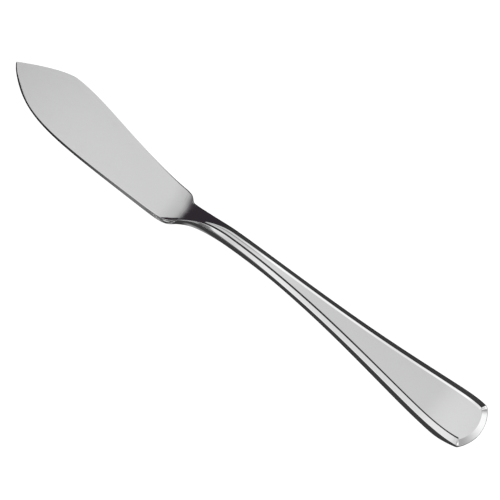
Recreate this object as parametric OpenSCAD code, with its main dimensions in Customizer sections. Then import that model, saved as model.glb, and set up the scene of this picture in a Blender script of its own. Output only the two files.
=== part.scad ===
// Fish knife: a rolled blade whose tang is brazed into a forged handle.
// Lengths are in millimetres. While a piece is being shaped, x runs from the blade tip to the handle end,
// y = 0 is the axis of the handle with the spine on its positive side, and z = 0 is the table.

/* [Overall] */
// Length from the blade tip to the handle end
overall_len = 205; // [195:1:220]
// Length of the blade from its tip to the seam at the neck
blade_len = 78.6; // [74:0.2:84]
// Chamfer that eases every outer edge
edge_ease = 0.3; // [0.1:0.05:0.4]

/* [Blade outline] */
// Height of the tip above the handle axis
tip_y = 4.1; // [1:0.1:6]
// Width of the blunted tip
tip_w = 0.5; // [0.4:0.1:2]
// Distance of the spine's hump from the tip
hump_x = 19.9; // [17:0.1:26]
// Height of the spine's hump above the handle axis
hump_y = 14; // [11:0.1:16]
// Distance of the shoulder, where the spine turns down to the neck, from the seam
shoulder_back = 4.4; // [3.5:0.1:9]
// Height of the shoulder above the handle axis
shoulder_y = 5.4; // [4:0.1:7]
// Distance from the tip at which the belly starts to run straight
belly_x = 53.7; // [45:0.1:58]
// Depth of the belly below the handle axis
belly_y = 10.5; // [9:0.1:13]
// Distance of the heel, where the belly turns up to the neck, from the seam
heel_back = 14.7; // [11:0.1:18]

/* [Blade thickness] */
// Thickness at the tip
tip_t = 1.1; // [0.85:0.05:1.5]
// Thickness that the even taper reaches at the seam
heel_t = 2.3; // [2:0.1:3]
// Thickness that the blade's root gains on top of its even taper, at the seam
root_swell = 0.4; // [0.1:0.05:0.6]
// Length of the swelling root
root_len = 10.6; // [6:0.2:14]

/* [Handle outline] */
// Reach of the neck to the spine side of the axis, at the seam
neck_spine_y = 2.7; // [2.4:0.05:3.4]
// Reach of the neck to the belly side of the axis, at the seam
neck_belly_y = 7.6; // [6:0.1:9]
// Length of the flare between the seam and the slim neck
neck_len = 18; // [14:0.1:20]
// Width of the slim neck
neck_w = 6.1; // [5.6:0.1:8]
// Width of the handle at the corners of its end
end_w = 19.9; // [17:0.1:22]
// Radius of the rounded handle end
end_radius = 15.6; // [13:0.1:24]
// Radius of the two outer corners of the handle end
corner_radius = 1.6; // [0.8:0.1:3]

/* [Handle side view] */
// Distance of the start of the arch under the handle from the seam
arch_start = 3.9; // [2:0.1:9]
// Height of the arch's steep first climb
knee_rise = 1.2; // [0.4:0.1:2]
// Distance at which the steep climb is over, from the seam
knee_at = 20.2; // [18:0.1:26]
// Height of the whole arch
arch_rise = 3.2; // [2:0.1:4]
// Distance of the top of the arch from the seam
arch_top = 39.4; // [28:0.1:50]
// Distance at which the handle comes down on the table, from the handle end
arch_foot = 20.5; // [15:0.5:40]
// Distance at which its underside leaves the table again, from the handle end
lift_start = 14; // [8:0.5:18]
// Lift of the handle end's underside off the table
end_lift = 2.6; // [0:0.1:2.8]
// Height of the top edge at the crest behind the neck
crest_z = 5.4; // [4.8:0.1:6]
// Distance of that crest from the seam
crest_at = 25; // [22:0.5:30]
// Height of the top edge at the foot
foot_z = 3.1; // [2.6:0.1:4]
// Height of the top edge at the handle end
end_z = 3.9; // [3.6:0.1:5]

/* [Handle relief] */
// Width of the bevelled border at the slim neck
border_neck = 1.6; // [1:0.1:2]
// Width of the bevelled border at the handle end
border_end = 2.3; // [1.5:0.1:3.5]
// Rise of the border from the handle's edge to its ridge
border_rise = 0.4; // [0.2:0.05:0.6]
// Width of the step from the ridge down to the panel
step_w = 0.7; // [0.3:0.05:0.9]
// Depth of the panel below the ridge
panel_depth = 0.35; // [0.1:0.05:0.4]
// Rise that the neck's top gains in its middle, where it climbs from the blade
neck_crown = 0.6; // [0:0.05:0.8]
// Distance of that crown from the seam
crown_at = 6; // [4:0.5:8]
// Length over which it fades out again
crown_len = 12; // [8:0.5:16]
// Distance from the seam at which the panel starts, as a point beside the belly side's border
panel_at = 5; // [3:0.5:7]
// Length over which it opens to its full width
panel_len = 9; // [6:0.5:14]

/* [Tang and slot] */
// Length of the tang behind the seam
tang_len = 8; // [5:0.5:9]
// Width of the tang
tang_w = 3.4; // [2:0.1:3.8]
// Thickness of the tang
tang_t = 1; // [0.6:0.1:1.1]
// Offset of the tang from the handle axis, to the belly side
tang_offset = 0.4; // [0:0.1:0.8]
// Gap round the tang that the brazing metal fills
braze_gap = 0.12; // [0.08:0.02:0.2]

/* [Hidden] */
// Slopes of spine and belly at the tip
nose_slope = 0.93;
chin_slope = -1.11;
// Slopes of the spine at the shoulder and at the seam, where it drops into a notch
spine_slope = -0.07;
shoulder_slope = -1.11;
// Slopes of the outline behind the seam, on the spine side and on the belly side
notch_slope = -0.14;
heel_slope = 1.03;
// Slope of the flank at the corners of the end, where it draws in
flank_slope = -0.2;
// Slopes of the top edge at the crest, at the foot and at the handle end
crest_slope = 0.036;
foot_slope = -0.01;
end_slope = 0.03;
// Shares of its run by which each curve of the outline is pulled out along its two end slopes
nose_pull = [0.01, 0.3];
back_pull = [0.25, 0.44];
shoulder_pull = [0.6, 0.32];
chin_pull = [0.23, 0.58];
belly_pull = [0.3, 0.3];
heel_pull = [0.78, 0.165];
neck_pull = [0.25, 0.31];
flank_pull = [0.59, 0.12];
// Points along each stretch of the blade outline
blade_steps = 20;
// Rings along the neck, the flank, each corner and the rounded end of the handle
neck_steps = 18;
flank_steps = 44;
corner_steps = 6;
arc_steps = 12;
// Share of a step that the last ring stays short of the axis
arc_rest = 0.5;
// Radius of the two inner corners of the border, where its bevels mitre
mitre_radius = 0.2;

// Places along the length
shoulder_x = blade_len - shoulder_back;
heel_x = blade_len - heel_back;
neck_x = blade_len + neck_len;
root_x = blade_len - root_len;
spring_x = blade_len + arch_start;
knee_x = blade_len + knee_at;
crest_x = blade_len + crest_at;
arch_x = blade_len + arch_top;
foot_x = overall_len - arch_foot;
lift_x = overall_len - lift_start;
end_centre_x = overall_len - end_radius;
// Places at which the border is fully formed and the crown is highest
formed_x = blade_len + root_len;
crown_x = blade_len + crown_at;
// Places at which the panel starts and is fully open
panel_x = blade_len + panel_at;
open_x = panel_x + panel_len;
// Widths of the border's bevel and step where they run out at the seam
seam_border = 0.5;
seam_step = edge_ease;
// Thickness and slope of the blade at the seam
seam_t = heel_t + root_swell;
taper = (heel_t - tip_t) / blade_len;
seam_rise = taper + 2 * root_swell / root_len;
// Height of the tang's underside
tang_z = (seam_t - tang_t) / 2;
// Place of the origin, in the middle under the knife
middle_x = overall_len / 2;
middle_y = (hump_y - belly_y) / 2;

// Smooth step from 0 to 1, level at both ends
function ease(t) = let (s = min(1, max(0, t))) s * s * (3 - 2 * s);
// Smooth step between two places along the length
function ramp(x, from, to) = ease((x - from) / (to - from));
// Height at x on a smooth line between two places, with a height and a slope at each
function sweep(x, from, to, z_from, z_to, slope_from, slope_to) =
    let (run = to - from)
    let (t = (x - from) / run)
    mix(z_from, z_to, ease(t)) + run * t * (1 - t) * (slope_from * (1 - t) - slope_to * t);
// Straight blend between two values
function mix(a, b, t) = a + (b - a) * t;
// Point of a cubic curve with control points p at parameter t
function cubic(p, t) =
    pow(1 - t, 3) * p[0] + 3 * pow(1 - t, 2) * t * p[1] + 3 * (1 - t) * t * t * p[2] + pow(t, 3) * p[3];
// Control points of a curve from a to b with a slope at each end
function flow(a, b, slope_a, slope_b, pull) =
    let (run = b[0] - a[0])
    [a, a + pull[0] * run * [1, slope_a], b - pull[1] * run * [1, slope_b], b];
// Points of a curve, without its first one
function trace(p, steps) = [for (i = [1:steps]) cubic(p, i / steps)];

// Blade outline

nose = [0, tip_y + tip_w / 2];
hump = [hump_x, hump_y];
shoulder = [shoulder_x, shoulder_y];
notch = [blade_len, neck_spine_y];
spine = concat(
    [nose],
    trace(flow(nose, hump, nose_slope, 0, nose_pull), blade_steps),
    trace(flow(hump, shoulder, 0, spine_slope, back_pull), blade_steps),
    trace(flow(shoulder, notch, spine_slope, shoulder_slope, shoulder_pull), blade_steps)
);
chin = [0, tip_y - tip_w / 2];
belly_start = [belly_x, -belly_y];
heel = [heel_x, -belly_y];
heel_end = [blade_len, -neck_belly_y];
belly = concat(
    [chin],
    trace(flow(chin, belly_start, chin_slope, 0, chin_pull), blade_steps),
    trace(flow(belly_start, heel, 0, 0, belly_pull), blade_steps),
    trace(flow(heel, heel_end, 0, heel_slope, heel_pull), blade_steps)
);

// Thickness of the blade, which tapers evenly to the tip and swells at its root
function blade_t(x) = tip_t + taper * x + root_swell * pow(max(0, x - root_x) / root_len, 2);
// Point i of a side of the blade moved in by d. The seam end only moves along the seam.
function inset_point(side, i, d, inward) =
    let (last = len(side) - 1)
    let (along = side[min(last, i + 1)] - side[max(0, i - 1)])
    let (across = i == last ? [0, inward] : inward * [-along[1], along[0]] / norm(along))
    side[i] + d * across;
// Closed outline of the blade moved in by d, from the tip along the spine and back along the belly
function blade_outline(d) = concat(
    [for (i = [0:len(spine) - 1]) inset_point(spine, i, d, -1)],
    [for (i = [len(belly) - 1:-1:0]) inset_point(belly, i, d, 1)]
);
// Outline with a height for each of its points
function lift(outline, heights) = [for (i = [0:len(outline) - 1]) [each outline[i], heights[i]]];

// Handle outline

// Half width, end radius and corner radius of a line that runs round the handle inside its edge
function half_w(inset) = end_w / 2 - inset;
function round_r(inset) = end_radius - inset;
function corner_r(inset) = max(mitre_radius, corner_radius - inset);
// Place along x of the middle of its corner
function corner_x(inset) =
    let (across = half_w(inset) - corner_r(inset))
    end_centre_x + sqrt(pow(round_r(inset) - corner_r(inset), 2) - across * across);
// Directions in which its corner meets the flank and the rounded end, and its point in any direction
flank_angle = 90 + atan(flank_slope);
function corner_angle(inset) = atan2(half_w(inset) - corner_r(inset), corner_x(inset) - end_centre_x);
function corner_point(inset, a) =
    [corner_x(inset), half_w(inset) - corner_r(inset)] + corner_r(inset) * [cos(a), sin(a)];

// Stretches of a line on one side of the handle: seam_y is its place at the seam, neck_in and end_in its
// distances from the edge at the slim neck and at the end
function neck_line(seam_y, seam_slope, neck_in) =
    let (run = flow([blade_len, seam_y], [neck_x, neck_w / 2 - neck_in], seam_slope, 0, neck_pull))
    [for (i = [0:neck_steps]) cubic(run, i / neck_steps)];
function flank_line(neck_in, end_in) =
    let (start = [neck_x, neck_w / 2 - neck_in])
    let (stop = corner_point(end_in, flank_angle))
    trace(flow(start, stop, 0, flank_slope, flank_pull), flank_steps);
function corner_line(end_in) = [
    for (i = [1:corner_steps]) corner_point(end_in, mix(flank_angle, corner_angle(end_in), i / corner_steps))
];
function end_line(end_in) = [
    for (i = [1:arc_steps])
        let (a = mix(corner_angle(end_in), 0, i / (arc_steps + arc_rest)))
        [end_centre_x, 0] + round_r(end_in) * [cos(a), sin(a)]
];
function rail(seam_y, seam_slope, neck_in, end_in) = concat(
    neck_line(seam_y, seam_slope, neck_in),
    flank_line(neck_in, end_in),
    corner_line(end_in),
    end_line(end_in)
);

// Heights of the handle along its length: underside, edge and panel
function under_z(x) =
    knee_rise * ramp(x, spring_x, knee_x)
    + (arch_rise - knee_rise) * ramp(x, spring_x, arch_x)
    - arch_rise * ramp(x, arch_x, foot_x)
    + end_lift * ramp(x, lift_x, overall_len);
function edge_z(x) =
    x < crest_x ? sweep(x, blade_len, crest_x, seam_t, crest_z, seam_rise, crest_slope)
    : x < foot_x ? sweep(x, crest_x, foot_x, crest_z, foot_z, crest_slope, foot_slope)
    : sweep(x, foot_x, overall_len, foot_z, end_z, foot_slope, end_slope);
function formed(x) = ramp(x, blade_len, formed_x);
function panel_z(x) =
    edge_z(x)
    + (border_rise - panel_depth) * formed(x)
    + neck_crown * (ramp(x, blade_len, crown_x) - ramp(x, crown_x, crown_x + crown_len));
// Depth of the panel below the ridge, which on the spine side begins only where the panel is fully open
function depth(x, side) = panel_depth * (side > 0 ? ramp(x, open_x, arch_x) : formed(x));
// Share by which ring i has turned from the flank into the handle end, where ridge and panel are level
function end_share(i) = min(1, max(0, (i - neck_steps - flank_steps) / corner_steps));

// A line of one side of the handle with its heights, where side is 1 on the spine side and -1 on the belly
// side. Round the handle end the border sinks by the panel's depth.
function raised(line, side, heights) = [
    for (i = [0:len(line) - 1]) [line[i][0], side * line[i][1], heights[i] - panel_depth * end_share(i)]
];
// A line of the spine side's relief: before the panel opens it keeps a small way off the belly side's line
function opened(line, belly_line, off) = [
    for (i = [0:len(line) - 1])
        let (x = line[i][0])
        [x, x < open_x ? mix(off - belly_line[i][1], line[i][1], ramp(x, panel_x, open_x)) : line[i][1]]
];
// All lines of one side, from the panel over the ridge and the edge to the underside
function side_lines(side) =
    let (seam_y = side > 0 ? neck_spine_y : neck_belly_y)
    let (slope = side > 0 ? notch_slope : -heel_slope)
    let (neck_in = border_neck + step_w)
    let (end_in = border_end + step_w)
    let (belly_panel = rail(neck_belly_y - seam_border - seam_step, -heel_slope, neck_in, end_in))
    let (own_panel = rail(seam_y - seam_border - seam_step, slope, neck_in, end_in))
    let (own_ridge = rail(seam_y - seam_border, slope, border_neck, border_end))
    let (panel = side > 0 ? opened(own_panel, belly_panel, seam_step) : own_panel)
    let (ridge = side > 0 ? opened(own_ridge, belly_panel, 2 * seam_step) : own_ridge)
    let (eased = rail(seam_y - edge_ease, slope, edge_ease, edge_ease))
    let (edge = rail(seam_y, slope, 0, 0))
    [
        [for (p = panel) [p[0], side * p[1], panel_z(p[0])]],
        raised(ridge, side, [for (p = ridge) panel_z(p[0]) + depth(p[0], side)]),
        raised(eased, side, [for (p = eased) edge_z(p[0])]),
        raised(edge, side, [for (p = edge) edge_z(p[0]) - edge_ease]),
        [for (p = edge) [p[0], side * p[1], under_z(p[0]) + edge_ease]],
        [for (p = eased) [p[0], side * p[1], under_z(p[0])]]
    ];

// Solids from rings of points

// Triangles between two neighbouring rings of n points that start at a and b
function band(a, b, n) = [
    for (i = [0:n - 1])
        let (k = (i + 1) % n)
        each [[a + i, a + k, b + k], [a + i, b + k, b + i]]
];
// Triangles that close a ring, rung by rung from its first and last points inwards
function ladder(a, n) = [
    for (i = [0:n / 2 - 2])
        each [[a + i, a + i + 1, a + n - 2 - i], [a + i, a + n - 2 - i, a + n - 1 - i]]
];
// Triangles that close the first ring, spread from its point number hub
function fan(hub, n) = [for (i = [1:n - 2]) [hub, (hub + i) % n, (hub + i + 1) % n]];
function turned(faces) = [for (f = faces) [f[2], f[1], f[0]]];
// Closed solid through a row of rings of n points, whose first ring is closed by the faces given
module loft(rings, first) {
    n = len(rings[0]);
    last = (len(rings) - 1) * n;
    polyhedron(
        points = [for (ring = rings) each ring],
        faces = concat(
            turned(first),
            [for (a = [0:n:last - n]) each band(a, a + n, n)],
            ladder(last, n)
        )
    );
}
// Puts a piece from its shaping place to the origin in the middle under the knife
module placed() {
    translate([-middle_x, -middle_y, 0]) children();
}

// Flat tongue behind the seam, grown by gap on every side but the seam's
module tongue(gap) {
    translate([blade_len, -tang_offset - tang_w / 2 - gap, tang_z - gap])
        cube([tang_len + gap, tang_w + 2 * gap, tang_t + 2 * gap]);
}

// Pieces

// Rolled blade: flat underneath, tapering from its swollen root to the tip, with eased edges and its tang
module blade() {
    edge = blade_outline(0);
    inner = blade_outline(edge_ease);
    color([0.80, 0.80, 0.81]) placed() union() {
        loft([
            lift(inner, [for (p = inner) 0]),
            lift(edge, [for (p = edge) edge_ease]),
            lift(edge, [for (p = edge) blade_t(p[0]) - edge_ease]),
            lift(inner, [for (p = inner) blade_t(p[0])])
        ], ladder(0, len(edge)));
        tongue(0);
    }
}

// Forged handle: arched and flared, with a bevelled border round a sunk panel, slotted for the tang
module handle() {
    spine_side = side_lines(1);
    belly_side = side_lines(-1);
    last_line = len(belly_side) - 1;
    lines = concat(spine_side, [for (i = [last_line:-1:0]) belly_side[i]]);
    rings = [for (i = [0:len(lines[0]) - 1]) [for (line = lines) line[i]]];
    color([0.74, 0.74, 0.76]) placed() difference() {
        loft(rings, fan(last_line, len(lines)));
        tongue(braze_gap);
    }
}

// Sleeve of brazing metal between the tang and its slot
module braze() {
    color([0.72, 0.66, 0.50]) placed() difference() {
        tongue(braze_gap);
        tongue(0);
    }
}

blade();
handle();
braze();
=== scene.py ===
# %% [markdown]
# # A polished fish knife
# The packed knife is the fixed frame: a rolled blade, a forged handle and the brazing metal that joins
# them. This lesson lays finer surfaces over blade and handle, gives them the finish of used cutlery steel,
# and sets up the small studio in which a mirror-like object can be photographed. Everything stays in
# metres and where the frame is.

# %% Load the packed knife
import math

import bmesh
import bpy
import numpy as np
from mathutils import Matrix


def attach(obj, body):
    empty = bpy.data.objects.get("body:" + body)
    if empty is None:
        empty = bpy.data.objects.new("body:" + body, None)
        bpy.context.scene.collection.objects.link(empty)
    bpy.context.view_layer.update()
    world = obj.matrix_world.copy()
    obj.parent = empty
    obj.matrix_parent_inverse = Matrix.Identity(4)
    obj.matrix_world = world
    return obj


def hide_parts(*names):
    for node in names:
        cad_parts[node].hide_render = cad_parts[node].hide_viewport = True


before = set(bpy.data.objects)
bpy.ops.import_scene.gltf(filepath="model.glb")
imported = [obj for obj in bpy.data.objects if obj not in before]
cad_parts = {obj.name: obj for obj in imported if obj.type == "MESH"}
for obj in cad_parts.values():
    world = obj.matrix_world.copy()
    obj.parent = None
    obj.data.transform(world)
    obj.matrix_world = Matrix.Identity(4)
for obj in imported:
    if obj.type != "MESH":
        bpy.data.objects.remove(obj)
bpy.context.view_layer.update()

print("nodes", sorted(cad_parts))

# %% [markdown]
# ## Sizes
# A surface can only lie on the packed knife if it is drawn with the same sizes, so they are repeated here
# in millimetres. Only at the neck do a few differ, where panel, crown and border were set by what the steel
# mirrors. x runs from the blade tip to the handle end, y = 0 is the axis of the handle with the spine on its
# positive side, and z = 0 is the table.

# %% Sizes of the knife
overall_len, blade_len = 205.0, 78.6
tip_y, tip_w, hump_x, hump_y = 4.1, 0.5, 19.9, 14.0
shoulder_x, shoulder_y = blade_len - 4.4, 5.4
belly_x, belly_y, heel_x = 53.7, 10.5, blade_len - 14.7
tip_t, heel_t, root_swell, root_len = 1.1, 2.3, 0.4, 10.6
neck_spine_y, neck_belly_y, neck_w, neck_x = 2.7, 7.6, 6.1, blade_len + 18.0
end_w, end_radius, corner_radius, mitre_radius = 19.9, 15.6, 1.6, 0.2
spring_x, knee_x, arch_x = blade_len + 3.9, blade_len + 20.2, blade_len + 39.4
crest_x, foot_x, lift_x = blade_len + 25.0, overall_len - 20.5, overall_len - 14.0
formed_x = blade_len + root_len
knee_rise, arch_rise, end_lift = 1.2, 3.2, 2.6
crest_z, foot_z, end_z = 5.4, 3.1, 3.9
border_neck, border_end, border_rise = 1.6, 2.3, 0.4
panel_depth = 0.35
neck_crown, crown_fall = 0.6, -0.045
crown_start, crown_x, crown_end = blade_len + 1.5, blade_len + 8.2, blade_len + 22.6
panel_x, open_x = blade_len + 6.2, blade_len + 18.4
seam_border, seam_step = 0.18, 1.0
tang_len, tang_w, tang_t, tang_offset, braze_gap = 8.0, 3.4, 1.0, 0.4, 0.12
middle = np.array([overall_len / 2, (hump_y - belly_y) / 2, 0.0])
print("the origin lies", middle, "mm from tip, axis and table")

# %% [markdown]
# ## Smooth steps and flowing curves
# Every line of the knife is a cubic curve with a slope at each end, and every change of height is a
# smooth step or a smooth sweep along x. They are plain formulas, so they are worked out for all points of
# a line at once, without a loop.

# %% Curve formulas


def ease(t):
    """Smooth step: 3 s^2 - 2 s^3 of the value held between 0 and 1."""
    s = np.clip(t, 0.0, 1.0)
    return s * s * (3.0 - 2.0 * s)


def ramp(x, start, stop):
    """Smooth step from 0 at start to 1 at stop."""
    return ease((x - start) / (stop - start))


def sweep(x, start, stop, z_start, z_stop, slope_start, slope_stop):
    """Cubic line between two places, with a height and a slope at each."""
    run = stop - start
    t = np.clip((x - start) / run, 0.0, 1.0)
    lean = run * t * (1 - t) * (slope_start * (1 - t) - slope_stop * t)
    return z_start + (z_stop - z_start) * ease(t) + lean


def flow(a, b, slope_a, slope_b, pull, t):
    """Cubic curve from a to b: its two inner control points lie on the end slopes, at shares of the run."""
    a, b = np.array(a, float), np.array(b, float)
    run = b[0] - a[0]
    p = a + pull[0] * run * np.array([1.0, slope_a])
    q = b - pull[1] * run * np.array([1.0, slope_b])
    t = np.asarray(t, float)[:, None]
    return (1 - t) ** 3 * a + 3 * (1 - t) ** 2 * t * p + 3 * (1 - t) * t * t * q + t**3 * b


def bend(a, corner, b, steps):
    """Rounded corner: the quadratic curve from a to b that heads for the corner, as rows of points."""
    t = np.linspace(0.0, 1.0, steps + 1)[:, None, None]
    return (1 - t) ** 2 * a + 2 * (1 - t) * t * corner + t * t * b


def across(a, b, shares):
    """Rows of points on the straight lines from a to b, at the given shares of the way."""
    t = np.asarray(shares, float)[:, None, None]
    return a + t * (b - a)


def toward(a, b, distance):
    """Points that lie a distance from a on the way to b, but never past the middle."""
    way = b - a
    size = np.linalg.norm(way, axis=-1, keepdims=True)
    share = np.minimum(np.broadcast_to(distance, size.shape[:1])[:, None] / np.maximum(size, 1e-9), 0.5)
    return a + way * share


print("half way up a smooth step:", float(ease(0.5)))

# %% [markdown]
# ## Heights along the knife
# The blade is rolled so that it tapers evenly to the tip, and its root swells a little towards the neck.
# Behind the seam the forging climbs to a crest, arches over the table, comes down at the foot and lifts at
# its end. The border's ridge stands above the edge, and the panel is pressed in below the ridge. One
# formula gives each height for every x.

# %% Height formulas
taper = (heel_t - tip_t) / blade_len
seam_t = heel_t + root_swell
seam_rise = taper + 2 * root_swell / root_len
crest_slope, foot_slope, end_slope = 0.036, -0.01, 0.03
rim_x, step_x = blade_len - 5.1, blade_len + 11.4
lead_share, lead_y, lead_soft = 0.14, -1.4, 1.2
lead_starts, lead_ends = (blade_len - 26.0, blade_len - 6.0), (blade_len + 4.0, blade_len + 14.0)


def lead(x, y):
    """How far the climb to the neck leads along x: nothing on the belly side, and evenly more on the spine
    side. The soft turn between the two is a distance plus the root of its square and a softness squared. The
    lead comes and goes by smooth steps before and behind the seam."""
    near_seam = ramp(x, *lead_starts) * (1.0 - ramp(x, *lead_ends))
    off = y - lead_y
    return near_seam * lead_share * (off + np.sqrt(off * off + lead_soft * lead_soft))


def under_z(x):
    """Underside of the handle: a steep climb, the rest of the arch, down to the foot, and up at the end."""
    climb = knee_rise * ramp(x, spring_x, knee_x) + (arch_rise - knee_rise) * ramp(x, spring_x, arch_x)
    return climb - arch_rise * ramp(x, arch_x, foot_x) + end_lift * ramp(x, lift_x, overall_len)


def base_z(x):
    """Top of the edge: an even taper with a square law over the root, then sweeps to crest, foot and end."""
    leaf = tip_t + taper * x + root_swell * (np.maximum(0.0, x - blade_len + root_len) / root_len) ** 2
    first = sweep(x, blade_len, crest_x, seam_t, crest_z, seam_rise, crest_slope)
    second = sweep(x, crest_x, foot_x, crest_z, foot_z, crest_slope, foot_slope)
    third = sweep(x, foot_x, overall_len, foot_z, end_z, foot_slope, end_slope)
    behind = np.where(x < crest_x, first, np.where(x < foot_x, second, third))
    return np.where(x < blade_len, leaf, behind)


def edge_z(x, y):
    """Top of the edge at any y: the height that the lead has reached."""
    return base_z(x + lead(x, y))


def lead_z(x, y):
    """How much the lead alone raises the edge."""
    return edge_z(x, y) - base_z(x)


def formed(x):
    """Share by which border and panel are formed: a smooth step behind the seam."""
    return ramp(x, blade_len, formed_x)


def panel_z(x, y):
    """Panel: the edge, plus what the border rises and less what the panel is sunk, plus the neck's crown."""
    rise = sweep(x, crown_start, crown_x, 0.0, neck_crown, 0.0, crown_fall)
    fall = sweep(x, crown_x, crown_end, neck_crown, 0.0, crown_fall, 0.0)
    return edge_z(x, y) + (border_rise - panel_depth) * formed(x) + np.where(x < crown_x, rise, fall)


def belly_step(x):
    """Step from the panel up to the belly side's ridge: it grows over the heel."""
    return panel_depth * ramp(x, rim_x, blade_len)


def spine_step(x):
    """Step up to the spine side's ridge, which begins only where the panel has opened."""
    return panel_depth * ramp(x, step_x, arch_x)


print("seam", seam_t, "mm thick, rising", round(seam_rise, 3), "per mm")

# %% [markdown]
# ## From a grid of points to a mesh
# A solid piece is a row of closed loops, each with the same number of points. Neighbouring loops are
# joined by four-sided faces, and loops that shrink to a line or a point close the ends. Points that fall
# together are merged, so that the skin is closed. Each point also carries a number that says how much it
# has been rubbed, which the materials use later. Edges sharper than a limit keep their crease in shading.

# %% Skin over a row of loops
mm, merge_reach, sliver_reach = 0.001, 1e-6, 1e-7
crease_limit = math.radians(40.0)


def ring_faces(rows, count):
    """Point numbers of the four-sided faces between neighbouring closed loops of a grid."""
    at = np.arange(rows * count).reshape(rows, count)
    right = np.roll(at, -1, axis=1)
    return np.stack([at[:-1], right[:-1], right[1:], at[1:]], axis=-1).reshape(-1, 4)


def skin(name, loops, rubbed):
    """Mesh object from an array of loops (loop, point, xyz) in millimetres, closed along each loop."""
    mesh = bpy.data.meshes.new(name)
    points = (loops - middle) * mm
    mesh.from_pydata(points.reshape(-1, 3).tolist(), [], ring_faces(*loops.shape[:2]).tolist())
    mesh.attributes.new("rubbed", "FLOAT", "POINT").data.foreach_set("value", rubbed.ravel())
    work = bmesh.new()
    work.from_mesh(mesh)
    bmesh.ops.remove_doubles(work, verts=work.verts, dist=merge_reach)
    bmesh.ops.dissolve_degenerate(work, edges=work.edges, dist=sliver_reach)
    bmesh.ops.recalc_face_normals(work, faces=work.faces)
    open_edges = sum(not e.is_manifold for e in work.edges)
    volume = work.calc_volume(signed=True) / mm**3
    work.to_mesh(mesh)
    work.free()
    mesh.shade_smooth()
    mesh.set_sharp_from_angle(angle=crease_limit)
    piece = bpy.data.objects.new(name, mesh)
    bpy.context.scene.collection.objects.link(piece)
    print(f"{name}: {len(mesh.polygons)} faces, {open_edges} open edges, {volume:.0f} mm3")
    return piece


def tongue(loop, grow, length):
    """The loop's points moved out from the middle of the tang onto its rectangle, at the seam and at its far
    end, and a last loop that has shrunk to the middle of that end."""
    centre = np.array([blade_len, -tang_offset, seam_t / 2])
    half = np.array([tang_w / 2 + grow, tang_t / 2 + grow])
    off = loop[:, 1:] - centre[1:]
    on_edge = off / np.max(np.abs(off) / half, axis=1, keepdims=True)
    near = np.column_stack([np.full(len(loop), blade_len), centre[1:] + on_edge])
    far = near + np.array([length, 0.0, 0.0])
    return near, far, np.broadcast_to(centre + np.array([length, 0.0, 0.0]), far.shape)


# %% [markdown]
# ## One profile for both pieces
# Blade and handle meet at the neck, so both are drawn with the same profile: from the face down a small
# step, over a ridge, along a bevel, round the edge, down the wall and round the lower edge. On most of the
# blade the step has no height and the profile is a plain rounded edge.

# %% Profile rows
round_steps, crease_r = 6, 0.06
step_shares, wall_shares = np.array([0.1, 0.9]), np.array([0.04, 0.5, 0.96])
bevel_shares = np.array([0.03, 0.15, 0.3, 0.45, 0.6, 0.75, 0.9, 0.97])
face_shares = np.array([0.004, 0.02, 0.08, 0.2, 0.35, 0.5, 0.65, 0.8, 0.92, 0.98, 0.996])
row_rubs = {"crease": 0.0, "step": 0.3, "crest": 1.0, "bevel": 0.2, "top": 1.0, "wall": 0.1, "foot": 0.6}


def profile(height, face, panel, ridge, wall, low, inner, soft_crease, soft_ridge, soft_top, soft_low):
    """Rows of points down one side, with each corner rounded over its own distance, and how rubbed each row
    is: most on the ridge and on the upper edge, not at all in the crease. The rows above the wall are drawn
    as heights over a height formula, so that they bow with it."""

    def over(rows, sign):
        """The points with the height formula added, or taken off where the sign is negative."""
        lift = np.zeros(rows.shape)
        lift[..., 2] = sign * height(rows[..., 0], rows[..., 1])
        return rows + lift

    foot = bend(toward(low, wall, soft_low), low, toward(low, inner, soft_low), round_steps)
    face, panel, ridge, wall, low = (over(line, -1.0) for line in (face, panel, ridge, wall, low))
    crease = bend(toward(panel, face, soft_crease), panel, toward(panel, ridge, crease_r), round_steps)
    crest = bend(toward(ridge, panel, crease_r), ridge, toward(ridge, wall, soft_ridge), round_steps)
    top = bend(toward(wall, ridge, soft_top), wall, toward(wall, low, soft_top), round_steps)
    step = across(crease[-1], crest[0], step_shares)
    bevel = across(crest[-1], top[0], bevel_shares)
    rows = [over(part, 1.0) for part in (crease, step, crest, bevel, top)]
    rows += [across(rows[-1][-1], foot[0], wall_shares), foot]
    rubbed = [np.full(len(part), rub) for part, rub in zip(rows, row_rubs.values())]
    return np.concatenate(rows), np.concatenate(rubbed)


def closed_loops(spine_side, belly_side, face_height):
    """Loops round a piece: over the face, down the spine side, along the underside and up the belly side."""
    (spine, rub), (belly, _) = spine_side, belly_side
    face = across(belly[0], spine[0], face_shares)
    bulge = 1.0 - (2.0 * face_shares[:, None] - 1.0) ** 2
    face[..., 2] = face_height(face[..., 0], face[..., 1], bulge)
    under = across(spine[-1], belly[-1], face_shares)
    plain = np.zeros(len(face_shares))
    loops = np.concatenate([face, spine, under, belly[::-1]]).transpose(1, 0, 2)
    return loops, np.broadcast_to(np.concatenate([plain, rub, plain, rub[::-1]]), loops.shape[:2])


side_points = 4 * (round_steps + 1) + len(step_shares) + len(bevel_shares) + len(wall_shares)
print("points in one loop:", 2 * (len(face_shares) + side_points))

# %% [markdown]
# ## The blade's outline
# A fish knife's blade is a blunt leaf with a humped spine, used to lift flesh off the bone and not to cut.
# Its outline could be drawn through many points, but those are hard to keep smooth. Six flowing curves that
# meet in a sharp tip do it with few numbers: two slopes for each curve, and how strongly each one pulls.

# %% Blade outline
outline_steps, station_count, tip_crowding, tip_reach = 200, 240, 0.35, 2.4
notch_fill, notch_start = 0.55, blade_len - 3.2
heel_slope = 1.03
spine_slopes = [(0.93, 0.0), (0.0, -0.07), (-0.07, -1.11)]
spine_pulls = [(0.01, 0.3), (0.25, 0.44), (0.6, 0.32)]
belly_slopes = [(-1.11, 0.0), (0.0, 0.0), (0.0, heel_slope)]
belly_pulls = [(0.23, 0.58), (0.3, 0.3), (0.78, 0.165)]


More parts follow.
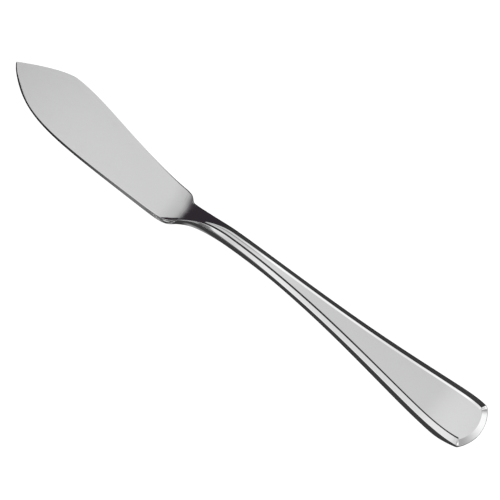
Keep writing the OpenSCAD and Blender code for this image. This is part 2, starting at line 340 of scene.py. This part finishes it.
def side_line(start, points, slopes, pulls):
    """One side of the blade: flowing curves joined end to end, led to the sharp tip by a square law over the
    first millimetres, with points spread evenly but closer at the tip."""
    t = np.linspace(0.0, 1.0, outline_steps + 1)
    parts = zip([start] + points, points, slopes, pulls)
    line = np.vstack([[start]] + [flow(a, b, *ends, pull, t)[1:] for a, b, ends, pull in parts])
    line[:, 1] += (tip_y + tip_w / 2 - start[1]) * np.maximum(0.0, 1.0 - line[:, 0] / tip_reach) ** 2
    gap = np.linalg.norm(np.diff(line, axis=0), axis=1)
    length = np.concatenate([[0.0], np.cumsum(gap)])
    t = np.linspace(0.0, 1.0, station_count)
    s = length[-1] * (tip_crowding * t * t + (1.0 - tip_crowding) * t)
    return np.column_stack([np.interp(s, length, line[:, k]) for k in range(2)])


spine_ends = [[hump_x, hump_y], [shoulder_x, shoulder_y], [blade_len, neck_spine_y]]
spine_line = side_line([0.0, tip_y + tip_w / 2], spine_ends, spine_slopes, spine_pulls)
spine_line[:, 1] += notch_fill * ramp(spine_line[:, 0], notch_start, blade_len)
belly_ends = [[belly_x, -belly_y], [heel_x, -belly_y], [blade_len, -neck_belly_y]]
belly_line = side_line([0.0, tip_y - tip_w / 2], belly_ends, belly_slopes, belly_pulls)
print("widest place of the blade:", round(spine_line[:, 1].max() - belly_line[:, 1].min(), 2), "mm")

# %% [markdown]
# ## The blade's surface
# The edges are hardly broken along the leaf, and rounder at shoulder and heel, where they turn into the
# neck. The tip is bevelled on the belly side. At the heel a low rim begins that grows into the border of the
# handle. A Bevel modifier would round all edges alike, so the profile is carried along the outline with
# roundings of its own at each place. The last loops run inwards at the seam and along the tang.

# %% Blade surface
seam_turn, tip_relief, tip_room = 3.0, 8.0, 0.15
tip_bevel, least_bevel, bevel_starts, bevel_ends = 0.4, 0.45, (0.0, 0.5), (4.0, 16.0)
rim_turn, first_step, step_grows = (rim_x - 4.0, rim_x + 0.5), 0.15, (rim_x, rim_x + 2.8)
soft_belly, soft_spine, soft_heel, soft_notch, soft_low_seam = 0.12, 0.05, 0.3, 0.6, 0.2
shoulder_span, heel_span = (52.0, blade_len), (56.0, 70.0)
soft_crest, soft_cove = 0.3, 0.8
spine_borders, heel_borders = (1.6, 1.6, 1.6), (1.4, 0.1, seam_border)


def inset_direction(line, inward):
    """Unit normal of a line that points into the blade: along x at the tip and along y at the seam."""
    along = np.gradient(line, axis=0)
    normal = inward * np.column_stack([-along[:, 1], along[:, 0]])
    normal /= np.linalg.norm(normal, axis=1, keepdims=True)
    share = ramp(line[:, 0], blade_len - seam_turn, blade_len)[:, None]
    normal = (1 - share) * normal + share * np.array([0.0, inward])
    normal[0] = [1.0, 0.0]
    return normal / np.linalg.norm(normal, axis=1, keepdims=True)


def blade_side(line, inward, borders, step, bevel, soft_leaf, soft_root, soft_span):
    """Profile rows along one side of the blade. The border has its own width on the leaf, where the rim
    starts and at the seam. The rounding grows over its own span. All insets shrink at the tip, where the
    leaf is narrow and its edge bevelled."""
    into = inset_direction(line, inward)
    x = line[:, 0]
    room = tip_room + (1.0 - tip_room) * ramp(x, 0.0, tip_relief)
    root = ramp(x, blade_len - root_len, blade_len)

    def inset(distance):
        """The line moved into the blade and laid on the panel's height."""
        moved = line + into * (distance * room)[:, None]
        return np.column_stack([moved, panel_z(*moved.T)])

    wide, start, narrow = borders
    border = wide + (start - wide) * ramp(x, *rim_turn) + (narrow - start) * ramp(x, rim_x, blade_len)
    step_w = seam_step * (first_step + (1.0 - first_step) * ramp(x, *step_grows))
    panel, ridge = inset(border + step_w), inset(border)
    ridge[:, 2] += step(x)
    bevel_w = bevel * np.maximum(1.0, least_bevel / room)
    wall = inset(bevel_w * ramp(x, *bevel_starts) * (1.0 - ramp(x, *bevel_ends)))
    low = np.column_stack([line, 0.0 * x])
    inner = panel * np.array([1.0, 1.0, 0.0])
    soft_top = (soft_leaf + (soft_root - soft_leaf) * ramp(x, *soft_span)) * room
    soft_low = soft_leaf + (soft_low_seam - soft_leaf) * root
    face = inset(border + step_w + 2 * soft_cove)
    cove = crease_r + (soft_cove - crease_r) * ramp(x, rim_x, blade_len)
    crest = crease_r + (soft_crest - crease_r) * root
    return profile(edge_z, face, panel, ridge, wall, low, inner, cove, crest, soft_top, soft_low)


loops, rubbed = closed_loops(
    blade_side(spine_line, -1, spine_borders, spine_step, 0.0, soft_spine, soft_notch, shoulder_span),
    blade_side(belly_line, 1, heel_borders, belly_step, tip_bevel, soft_belly, soft_heel, heel_span),
    lambda x, y, bulge: panel_z(x, y),
)
tang = tongue(loops[-1], 0.0, tang_len)
unworn = np.zeros((len(tang), loops.shape[1]))
blade_skin = skin("blade_skin", np.concatenate([loops, tang]), np.concatenate([rubbed, unworn]))
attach(blade_skin, "root")
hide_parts("blade")

# %% [markdown]
# ## The handle's lines
# The handle is the piece that takes the most skill, because its border narrows, opens and turns two corners
# without a break. It could be cut from a block with a bevel and an inset, but those can't change width along
# the way. So three lines run on each side from the seam along the neck, out over the flank, round a corner
# and round the end: the panel's border, the ridge, and the outer edge.

# %% Handle lines
neck_steps, flank_steps, sink_steps, corner_steps, arc_steps = 70, 130, 6, 12, 28
neck_pull, flank_pull, flank_slope, notch_slope = (0.25, 0.31), (0.59, 0.12), -0.2, -0.14
belly_step_w, spine_step_w, end_step_w, spine_more = 0.88, 0.55, 0.65, 0.15
least_panel, notch_run = 0.1, 1.13


def rail(seam_y, seam_slope, neck_in, end_in):
    """One line of the handle: a flowing neck and flank, a corner arc and the arc of the rounded end."""
    half, r = end_w / 2 - end_in, end_radius - end_in
    corner = max(mitre_radius, corner_radius - end_in)
    centre_x = overall_len - end_radius
    corner_x = centre_x + math.sqrt((r - corner) ** 2 - (half - corner) ** 2)
    angle = math.atan2(half - corner, corner_x - centre_x)
    a = np.linspace(math.pi / 2 + math.atan(flank_slope), angle, corner_steps + 1)
    turn = np.column_stack([corner_x + corner * np.cos(a), half - corner + corner * np.sin(a)])
    waist = [neck_x, neck_w / 2 - neck_in]
    neck = flow([blade_len, seam_y], waist, seam_slope, 0.0, neck_pull, np.linspace(0, 1, neck_steps + 1))
    flank = flow(waist, turn[0], 0.0, flank_slope, flank_pull, np.linspace(0, 1, flank_steps + 1))
    a = np.linspace(angle, 0.0, arc_steps + 1)
    end = np.column_stack([centre_x + r * np.cos(a), r * np.sin(a)])
    return np.vstack([neck, flank[1:], turn[1:], end[1:]])


def relief(seam_y, slope, seam_off, neck_off, end_off):
    """A line of the border, at its distances from the ridge at the seam, at the neck and at the end."""
    return rail(seam_y - seam_border - seam_off, slope, border_neck + neck_off, border_end + end_off)


def opened(line, beside, off):
    """The line, kept a little way off the line beside it until a smooth step opens the panel."""
    share = ramp(line[:, 0], panel_x, open_x)
    return np.column_stack([line[:, 0], (1 - share) * (beside[:, 1] + off) + share * line[:, 1]])


mirror = np.array([1.0, -1.0])
belly_lines = [
    relief(neck_belly_y, -heel_slope, seam_step, belly_step_w, end_step_w) * mirror,
    relief(neck_belly_y, -heel_slope, 0.0, 0.0, 0.0) * mirror,
    rail(neck_belly_y, -heel_slope, 0.0, 0.0) * mirror,
]
spine_panel = relief(neck_spine_y, notch_slope, seam_step, spine_more + spine_step_w, end_step_w)
spine_ridge = relief(neck_spine_y, notch_slope, 0.0, spine_more, 0.0)
spine_lines = [
    opened(spine_panel, belly_lines[0], least_panel),
    opened(spine_ridge, belly_lines[0], 2 * least_panel),
    rail(neck_spine_y, notch_slope, 0.0, 0.0),
]
filled = np.maximum(0.0, 1.0 - (spine_lines[2][:, 0] - blade_len) / notch_run) ** 2
spine_lines[2][:, 1] += notch_fill * filled
print("points on each line of the handle:", len(belly_lines[0]))

# %% [markdown]
# ## The handle's surface
# A loop joins the points of all lines at one place, and so carries one profile along the whole handle. Round
# the end the border sinks until its ridge is level with the panel. The panel is hardly crowned across, which
# is enough to soften what it mirrors. The first loops line the slot that holds the tang.

# %% Handle surface
soft_edge, soft_low_edge, soft_neck, soft_low_neck = 0.3, 0.4, 0.6, 0.8
soft_neck_span, soft_seam_span = (neck_x, neck_x + 34.0), (blade_len + 1.5, blade_len + 5.5)
crown_rise = 0.015


def handle_side(lines, other, step, soft_waist, soft_seam):
    """Profile rows along one side of the handle, from the seam to the axis at its end."""
    panel, ridge, edge = lines
    turned = (np.arange(len(edge)) - neck_steps - flank_steps + sink_steps) / (corner_steps + sink_steps)
    sunk = panel_depth * ease(turned)

    def lifted(line, height):
        """The line with the height that the formula gives at each of its points."""
        return np.column_stack([line, height(*line.T)])

    x = edge[:, 0]
    neck = 1.0 - ramp(x, *soft_neck_span)
    seam = 1.0 - ramp(x, blade_len, panel_x)
    soft_top = soft_edge + (soft_waist - soft_edge) * neck
    soft_low = soft_low_edge + (soft_low_neck - soft_low_edge) * neck
    top_ridge = lifted(ridge, lambda x, y: panel_z(x, y) + step(x))
    top_edge = lifted(edge, edge_z)
    top_ridge[:, 2] -= sunk
    top_edge[:, 2] -= sunk
    return profile(
        lead_z,
        lifted(other, panel_z),
        lifted(panel, panel_z),
        top_ridge,
        top_edge,
        np.column_stack([edge, under_z(x)]),
        np.column_stack([panel, under_z(panel[:, 0])]),
        crease_r,
        crease_r + (soft_crest - crease_r) * (1.0 - ramp(x, crown_x, neck_x)),
        soft_top + (soft_seam - soft_top) * seam,
        soft_low + (soft_low_seam - soft_low) * (1.0 - ramp(x, *soft_seam_span)),
    )


def panel_face(x, y, bulge):
    """Panel height with a slight crown across the neck: a rise times the bulge, between two smooth steps."""
    crown = crown_rise * bulge * ramp(x, panel_x, open_x) * (1.0 - ramp(x, crest_x, arch_x))
    return panel_z(x, y) + crown


loops, rubbed = closed_loops(
    handle_side(spine_lines, belly_lines[0], spine_step, soft_edge, soft_notch),
    handle_side(belly_lines, spine_lines[0], belly_step, soft_neck, soft_heel),
    panel_face,
)
slot = tongue(loops[0], braze_gap, tang_len + braze_gap)[::-1]
unworn = np.zeros((len(slot), loops.shape[1]))
handle_skin = skin("handle_skin", np.concatenate([slot, loops]), np.concatenate([unworn, rubbed]))
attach(handle_skin, "root")
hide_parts("handle")

# %% [markdown]
# ## Building materials from nodes
# A material is a small graph. These helpers add one node, set its numbers or link its sockets, and hand
# back the output that the next node needs, so that each material reads from top to bottom.

# %% Node helpers


class Graph:
    """A node tree with short ways to add nodes."""

    def __init__(self, tree):
        self.tree = tree

    def put(self, socket, value):
        """Link an output to a socket, or set the socket's own value."""
        if isinstance(value, bpy.types.NodeSocket):
            self.tree.links.new(value, socket)
        else:
            socket.default_value = value

    def add(self, kind, inputs=None, **settings):
        """A new node with its settings and inputs."""
        node = self.tree.nodes.new(kind)
        for name, value in settings.items():
            setattr(node, name, value)
        for name, value in (inputs or {}).items():
            self.put(node.inputs[name], value)
        return node

    def math(self, operation, *values):
        """Output of a Math node."""
        return self.add("ShaderNodeMath", dict(enumerate(values)), operation=operation).outputs[0]

    def smooth(self, value, start, stop, low=0.0, high=1.0):
        """Smooth step of a value between two places, from low to high."""
        inputs = {"Value": value, "From Min": start, "From Max": stop, "To Min": low, "To Max": high}
        return self.add("ShaderNodeMapRange", inputs, interpolation_type="SMOOTHSTEP").outputs["Result"]

    def blend(self, factor, a, b):
        """a where the factor is 0 and b where it is 1: a plus the factor times their difference."""
        return self.math("MULTIPLY_ADD", factor, self.math("SUBTRACT", b, a), a)

    def mix(self, factor, a, b):
        """Colour a where the factor is 0 and colour b where it is 1. Sockets 6 and 7 take the colours."""
        node = self.add("ShaderNodeMix", {"Factor": factor}, data_type="RGBA")
        self.put(node.inputs[6], a)
        self.put(node.inputs[7], b)
        return node.outputs[2]

    def noise(self, place, scale, detail, turn=0.0):
        """Noise in the object's own coordinates, stretched by a scale for each axis after a turn about z."""
        turned = self.add("ShaderNodeMapping", {"Vector": place, "Rotation": (0.0, 0.0, turn)}).outputs[0]
        stretched = self.add("ShaderNodeMapping", {"Vector": turned, "Scale": scale}).outputs[0]
        inputs = {"Vector": stretched, "Scale": 1.0, "Detail": detail}
        return self.add("ShaderNodeTexNoise", inputs).outputs["Fac"]


print("graph helpers:", [name for name in vars(Graph) if not name.startswith("__")])

# %% [markdown]
# ## Steel
# Stainless cutlery steel is a pale, almost neutral grey mirror. Four things make it look used and not
# computed. The buffing wheel leaves very fine parallel lines, which blur reflections across them. Washing
# and drawers leave hair scratches in all directions. Hands leave soft clouds of wear. Edges and ridges are
# rubbed brighter than the faces. Each is a stretched noise or the rubbed number of the mesh, and each changes
# roughness, bump or colour by little, because the knife in the photograph is clean and bright.

# %% Steel
steel_grey, steel_bright = (0.755, 0.755, 0.76, 1.0), (0.80, 0.80, 0.805, 1.0)
steel_rough, rough_spread, relief_unit = 0.06, 0.03, 0.000001
cloud_scale, grain_scale = (45.0, 90.0, 90.0), (90.0, 9000.0, 9000.0)
hair_turns, hair_scales = (0.35, -0.6, 1.3), (260.0, 330.0, 290.0)
hair_stretch, hair_cut = np.array([0.2, 14.0, 1.0]), (0.70, 0.74)
rubbed_bright, cloud_bright = 0.5, 0.7


def steel(name, grain_depth, scratch_depth):
    """Polished steel: grain along x, hair scratches in three directions, soft clouds of wear, rubbed edges.
    Roughness is a mean plus shares of a spread, and the two depths are in thousandths of a millimetre."""
    material = bpy.data.materials.new(name)
    material.use_nodes = True
    graph = Graph(material.node_tree)
    shader = material.node_tree.nodes["Principled BSDF"]
    shader.inputs["Metallic"].default_value = 1.0
    place = graph.add("ShaderNodeTexCoord").outputs["Object"]
    rubbed = graph.add("ShaderNodeAttribute", attribute_name="rubbed").outputs["Fac"]
    clouds = graph.noise(place, cloud_scale, detail=4.0)
    grain = graph.noise(place, grain_scale, detail=2.0)
    hairs = 0.0
    for turn, scale in zip(hair_turns, hair_scales):
        lines = graph.noise(place, scale * hair_stretch, detail=1.0, turn=turn)
        hairs = graph.math("MAXIMUM", hairs, graph.smooth(lines, *hair_cut))
    wear = graph.math("MULTIPLY_ADD", clouds, rough_spread, steel_rough - rough_spread / 2)
    wear = graph.math("MULTIPLY_ADD", hairs, rough_spread, wear)
    wear = graph.math("MULTIPLY_ADD", grain, rough_spread / 2, wear)
    wear = graph.math("MULTIPLY_ADD", rubbed, -rough_spread / 2, wear)
    graph.put(shader.inputs["Roughness"], wear)
    bright = graph.math("MULTIPLY_ADD", rubbed, rubbed_bright, graph.math("MULTIPLY", clouds, cloud_bright))
    graph.put(shader.inputs["Base Color"], graph.mix(bright, steel_grey, steel_bright))
    depth = graph.math("MULTIPLY_ADD", hairs, -scratch_depth, graph.math("MULTIPLY", grain, grain_depth))
    bump = graph.add("ShaderNodeBump", {"Height": depth, "Strength": 1.0, "Distance": relief_unit})
    graph.put(shader.inputs["Normal"], bump.outputs["Normal"])
    return material


blade_skin.data.materials.append(steel("blade_steel", grain_depth=0.5, scratch_depth=0.6))
handle_skin.data.materials.append(steel("handle_steel", grain_depth=0.3, scratch_depth=0.8))
print("steels:", [piece.data.materials[0].name for piece in (blade_skin, handle_skin)])

# %% [markdown]
# ## Brazing metal
# The braze is a yellow silver alloy that froze where it flowed, so it is rippled and duller than the steel.
# It is hidden in the joint, and its packed solid has the right shape, so it only needs a material.

# %% Brazing metal
braze_dark, braze_pale = (0.60, 0.48, 0.27, 1.0), (0.80, 0.70, 0.48, 1.0)
ripple_scale, ripple_depth = (900.0, 900.0, 900.0), 0.00003
ripple_span, ripple_rough = (0.2, 0.8), (0.3, 0.55)
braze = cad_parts["braze"]
brazing = bpy.data.materials.new("brazing_metal")
brazing.use_nodes = True
graph = Graph(brazing.node_tree)
shader = brazing.node_tree.nodes["Principled BSDF"]
shader.inputs["Metallic"].default_value = 1.0
place = graph.add("ShaderNodeTexCoord").outputs["Object"]
ripple = graph.noise(place, ripple_scale, detail=4.0)
graph.put(shader.inputs["Roughness"], graph.smooth(ripple, *ripple_span, *ripple_rough))
tint = graph.add("ShaderNodeValToRGB", {"Fac": ripple})
for band, colour in zip(tint.color_ramp.elements, (braze_dark, braze_pale)):
    band.color = colour
graph.put(shader.inputs["Base Color"], tint.outputs["Color"])
bump = graph.add("ShaderNodeBump", {"Height": ripple, "Distance": ripple_depth})
graph.put(shader.inputs["Normal"], bump.outputs["Normal"])
braze.data.materials.clear()
braze.data.materials.append(brazing)
print("materials:", [m.name for m in bpy.data.materials if m.users])

# %% [markdown]
# ## The floor
# The picture is a white catalogue picture. The floor's own shine makes it white for the camera and for the
# metal that mirrors it, and a little diffuse colour keeps the soft shadow. From below the floor is clear,
# so that the underside can be looked at.

# %% Floor


def stage_sheet(name, points, faces, material):
    """Stage object from plain points and faces."""
    mesh = bpy.data.meshes.new(name)
    mesh.from_pydata(np.asarray(points, float).tolist(), [], np.asarray(faces).tolist())
    mesh.materials.append(material)
    piece = bpy.data.objects.new(name, mesh)
    bpy.context.scene.collection.objects.link(piece)
    return piece


def paper(name):
    """Empty material and its graph, whose surface is clear when it is seen from behind."""
    material = bpy.data.materials.new(name)
    material.use_nodes = True
    material.node_tree.nodes.clear()
    graph = Graph(material.node_tree)
    behind = graph.add("ShaderNodeNewGeometry").outputs["Backfacing"]
    clear = graph.add("ShaderNodeBsdfTransparent").outputs[0]
    sides = graph.add("ShaderNodeMixShader", {"Fac": behind, 2: clear})
    graph.add("ShaderNodeOutputMaterial", {"Surface": sides.outputs[0]})
    return material, graph, sides.inputs[1]


floor_half, floor_drop, floor_grey, floor_shine = 6.0, 0.0002, 0.25, 0.95
white_paper, graph, front = paper("white_paper")
path = graph.add("ShaderNodeLightPath").outputs
seen = graph.math("MAXIMUM", path["Is Camera Ray"], path["Is Glossy Ray"])
seen = graph.math("MAXIMUM", seen, path["Is Transmission Ray"])
shine = graph.add("ShaderNodeEmission", {"Strength": graph.math("MULTIPLY", seen, floor_shine)})
matt = graph.add("ShaderNodeBsdfDiffuse", {"Color": (floor_grey, floor_grey, floor_grey, 1.0)})
graph.put(front, graph.add("ShaderNodeAddShader", {0: matt.outputs[0], 1: shine.outputs[0]}).outputs[0])
corners = floor_half * np.array([[-1, -1], [1, -1], [1, 1], [-1, 1]])
stage_sheet("floor", np.column_stack([corners, np.full(4, -floor_drop)]), [[0, 1, 2, 3]], white_paper)
print("floor", 2 * floor_half, "m wide,", 1000 * floor_drop, "mm under the knife")

# %% [markdown]
# ## The painted reflection cloth
# In the photograph the walls of the knife mirror something darker than the white round them, as they do
# when a knife is shot on a dark cloth and cut out. Here a sheet with a hole the shape of the knife paints
# that dark reflection: only reflections see it, and it lights nothing. It is one grid, from the knife's
# outline out to an oval. Each point carries how brightly it glows, and that glow is painted reflection: the
# sheet is lighter beside the belly, a light patch lies off the heel, and the brim next to the outline is
# lighter where the neck begins, each placed to paint a lighter band on the knife's walls.

# %% Painted reflection cloth round the knife
cloth_rings, cloth_reach, same_point = 6, 0.5, 1e-3
brim_offsets, brim_shares, cloth_edge = np.array([0.0, 0.00075, 0.00105]), np.array([1.0, 1.0, 0.6]), 0.0014
painted_dark_level, leaf_painted_light, leaf_span = 0.03, 0.025, (20.0, 40.0)
belly_painted_light = (0.17, (36.0, 62.0), (73.0, 76.0))
heel_painted_light = (0.75, (74.6, 75.6), (76.2, 78.2))
brim_painted_light = (0.35, (80.5, 83.5), (88.0, 94.0))


def painted_light_patch(x, amount, rise, fall):
    """Painted reflection glow that comes over one span of x and goes over another: an amount times a smooth
    step times what another smooth step leaves."""
    return amount * ramp(x, *rise) * (1.0 - ramp(x, *fall))


rim = np.vstack([loops[::-1, np.argmax(loops[0, :, 1])][:, :2], spine_line[::-1]])
rim_low = np.vstack([belly_line, loops[:, np.argmin(loops[0, :, 1])][:, :2]])
outline = np.vstack([rim, rim_low])
outline = outline[np.linalg.norm(outline - np.roll(outline, 1, axis=0), axis=1) > same_point]
along_x = outline[:, 0]
outline = (outline - middle[:2]) * mm
way = np.roll(outline, -1, axis=0) - np.roll(outline, 1, axis=0)
outward = np.column_stack([way[:, 1], -way[:, 0]]) / np.linalg.norm(way, axis=1, keepdims=True)
angle = np.arctan2(outline[:, 1], outline[:, 0])
oval = cloth_reach * np.column_stack([np.cos(angle), np.sin(angle)])
share = (np.linspace(0.0, 1.0, cloth_rings) ** 2)[:, None, None]
last = outline + cloth_edge * outward
brim = outline + brim_offsets[:, None, None] * outward
grid = np.concatenate([brim, last + share * (oval - last)])
grid = np.concatenate([grid, np.full((*grid.shape[:2], 1), -floor_drop / 2)], axis=-1)
# Painted reflections: this glow along the outline paints the dark and the lighter bands that the knife's
# walls mirror.
painted_reflection_glow = painted_dark_level + leaf_painted_light * ramp(along_x, *leaf_span) + painted_light_patch(along_x, *belly_painted_light)
glow = np.broadcast_to(painted_reflection_glow, grid.shape[:2]).copy()
glow[: len(brim)] += brim_shares[:, None] * painted_light_patch(along_x, *brim_painted_light)
glow[len(brim) - 1 :] += painted_light_patch(along_x, *heel_painted_light)
faces = ring_faces(*grid.shape[:2])
painted_reflection_sheet, graph, front = paper("painted_reflection_sheet")
strength = graph.add("ShaderNodeAttribute", attribute_name="glow").outputs["Fac"]
graph.put(front, graph.add("ShaderNodeEmission", {"Strength": strength}).outputs[0])
painted_reflection_cloth = stage_sheet("painted_reflection_cloth", grid.reshape(-1, 3), faces, painted_reflection_sheet)
painted_reflection_cloth.data.attributes.new("glow", "FLOAT", "POINT").data.foreach_set("value", glow.ravel())
if painted_reflection_cloth.data.polygons[0].normal.z < 0:
    painted_reflection_cloth.data.flip_normals()
# Seen only by glossy rays, the sheet paints dark and light reflections on the knife and lights nothing.
painted_reflection_cloth.visible_camera = painted_reflection_cloth.visible_diffuse = painted_reflection_cloth.visible_transmission = painted_reflection_cloth.visible_shadow = False
print("cloth with", len(faces), "faces")

# %% [markdown]
# ## The light tent
# A polished knife shows its room more than itself, so the room has to be built. The tent is a dome whose
# inside glows: brightest overhead, paler towards the far side, and dark along the far horizon and behind the
# camera. A dark panel stands on the blade's side and a bright one on the handle's side, and both ends of the
# tent are lit, so that the knife is bright from the side too. The bevels, the panel and the neck each mirror
# another part of it, and that is what draws their borders. The camera doesn't see the dome.
#
# Each point of the dome is known by two numbers: x, how far it leans to the handle's end, and arc, the angle
# about the knife's axis in degrees, from 0 at the far horizon over 90 overhead to 180 on the camera's side.

# %% Tent
dome_radius, dome_rows, dome_columns, dome_low = 3.0, 24, 48, -0.02
up = np.linspace(dome_low, math.pi / 2, dome_rows)[:, None]
turn = np.linspace(0.0, 2 * math.pi, dome_columns, endpoint=False)[None, :]
grid = dome_radius * np.stack(
    [np.cos(up) * np.cos(turn), np.cos(up) * np.sin(turn), np.sin(up) + 0 * turn], axis=-1
)
faces = ring_faces(dome_rows, dome_columns)[:, ::-1]
tent_cloth = bpy.data.materials.new("tent_cloth")
tent_cloth.use_nodes = True
tent_cloth.node_tree.nodes.clear()
graph = Graph(tent_cloth.node_tree)
place = graph.add("ShaderNodeTexCoord").outputs["Object"]
way = graph.add("ShaderNodeVectorMath", {0: place}, operation="NORMALIZE").outputs[0]
x, y, z = graph.add("ShaderNodeSeparateXYZ", {0: way}).outputs
half_turn, level_top = 180.0, 2.0
arc = graph.math("MULTIPLY", graph.math("ARCTAN2", z, y), half_turn / math.pi)
tent_levels = [
    (0, 0.05), (52, 0.06), (57, 0.72), (59, 0.84), (72, 0.95),
    (85, 1.0), (112, 1.05), (124, 0.95), (138, 0.22), (180, 0.1),
]
light = graph.add("ShaderNodeValToRGB", {"Fac": graph.math("DIVIDE", arc, half_turn)})
bands = light.color_ramp.elements
while len(bands) < len(tent_levels):
    bands.new(0.5)
for band, (degrees, value) in zip(bands, tent_levels):
    grey = value / level_top
    band.position, band.color = degrees / half_turn, (grey, grey, grey, 1.0)
level = graph.math("MULTIPLY", light.outputs["Color"], level_top)
print("tent levels by degrees:", dict(tent_levels))

# %% [markdown]
# ## Lights and dark panels in the tent
# Each change is a smooth step of x or arc, given as the two places between which it runs and the two values
# that it runs between. First come a brighter band overhead on the handle's side and three gentle fades along
# x. Then the handle's end gets a panel of its own, made of four steps of arc. Last come the lit ends and the
# dark panel, whose full shade is a little purple.

# %% Panels of the tent
spark_arc, spark_x = (94.0, 106.0), (-0.12, -0.02, 0.0, 0.35)
x_fades = [(-0.245, -0.185, 0.82, 1.0), (-0.15, -0.09, 0.90, 1.0), (-0.08, 0.05, 1.05, 0.885)]
end_steps = [
    (34.0, 42.0, -1.2, 0.0), (54.0, 72.0, 1.25, 0.45),
    (98.0, 110.0, 0.0, 0.35), (118.0, 138.0, 0.0, -0.4),
]
end_x, end_shift = (0.16, 0.22), (44.0, 52.0, 0.02, 0.0)
side_x, side_level = (0.58, 0.72), 0.75
flag_x, flag_arc = (-0.283, -0.245, 1.0, 0.0), (72.0, 84.0, 1.0, 0.0)
flag_level, tint_power = 0.035, 4.0
plain_white, flag_tint = (1.0, 1.0, 1.0, 1.0), (1.0, 0.82, 1.0, 1.0)
spark = graph.math("MULTIPLY", graph.smooth(arc, *spark_arc), graph.smooth(x, *spark_x))
level = graph.math("MULTIPLY", level, graph.math("ADD", spark, 1.0))
for fade in x_fades:
    level = graph.math("MULTIPLY", level, graph.smooth(x, *fade))
end_light = 0.0
for end_step in end_steps:
    end_light = graph.math("ADD", end_light, graph.smooth(arc, *end_step))
end_side = graph.math("SUBTRACT", x, graph.smooth(arc, *end_shift))
level = graph.blend(graph.smooth(end_side, *end_x), level, end_light)
side = graph.smooth(graph.math("ABSOLUTE", x), *side_x)
level = graph.blend(side, level, side_level)
flag = graph.math("MULTIPLY", graph.smooth(x, *flag_x), graph.smooth(arc, *flag_arc))
flag = graph.math("MULTIPLY", flag, graph.math("SUBTRACT", 1.0, side))
level = graph.blend(flag, level, flag_level)
tint = graph.mix(graph.math("POWER", flag, tint_power), plain_white, flag_tint)
glow = graph.add("ShaderNodeEmission", {"Color": tint, "Strength": level})
graph.add("ShaderNodeOutputMaterial", {"Surface": glow.outputs[0]})
tent = stage_sheet("tent", grid.reshape(-1, 3), faces, tent_cloth)
tent.visible_camera = False

world = bpy.data.worlds.new("white_room")
world.use_nodes = True
world.node_tree.nodes["Background"].inputs["Color"].default_value = plain_white
bpy.context.scene.world = world
print("tent", dome_radius, "m in radius with", len(faces), "faces")

# %% [markdown]
# ## The camera
# A long lens looks down on the knife from the belly side, turned so that the knife runs from the upper
# left to the lower right. Its place is given by two angles and a roll, found by laying the solids' outline
# on the outline in the photograph.

# %% Camera
azimuth, elevation, roll = math.radians(8.83), math.radians(59.0), math.radians(30.37)
lens_mm, sensor_mm, distance = 230.8, 36.0, 1.1
target = np.array([0.0019, 0.00006, 0.002])
back_way = np.array(
    [math.sin(azimuth) * math.cos(elevation), -math.cos(azimuth) * math.cos(elevation), math.sin(elevation)]
)
level_way = np.array([math.cos(azimuth), math.sin(azimuth), 0.0])
up_way = np.cross(back_way, level_way)
right_way = math.cos(roll) * level_way + math.sin(roll) * up_way
top_way = -math.sin(roll) * level_way + math.cos(roll) * up_way
camera = bpy.data.objects.new("camera", bpy.data.cameras.new("camera"))
bpy.context.scene.collection.objects.link(camera)
camera.data.lens, camera.data.sensor_width = lens_mm, sensor_mm
matrix = np.eye(4)
matrix[:3, :3] = np.column_stack([right_way, top_way, back_way])
matrix[:3, 3] = target + distance * back_way
camera.matrix_world = Matrix(matrix.tolist())
bpy.context.scene.camera = camera
bpy.context.scene.view_settings.view_transform = "Standard"
print("camera at", [round(float(v), 3) for v in camera.location])

# %% [markdown]
# The finer surfaces have to stay inside the box of the packed knife.
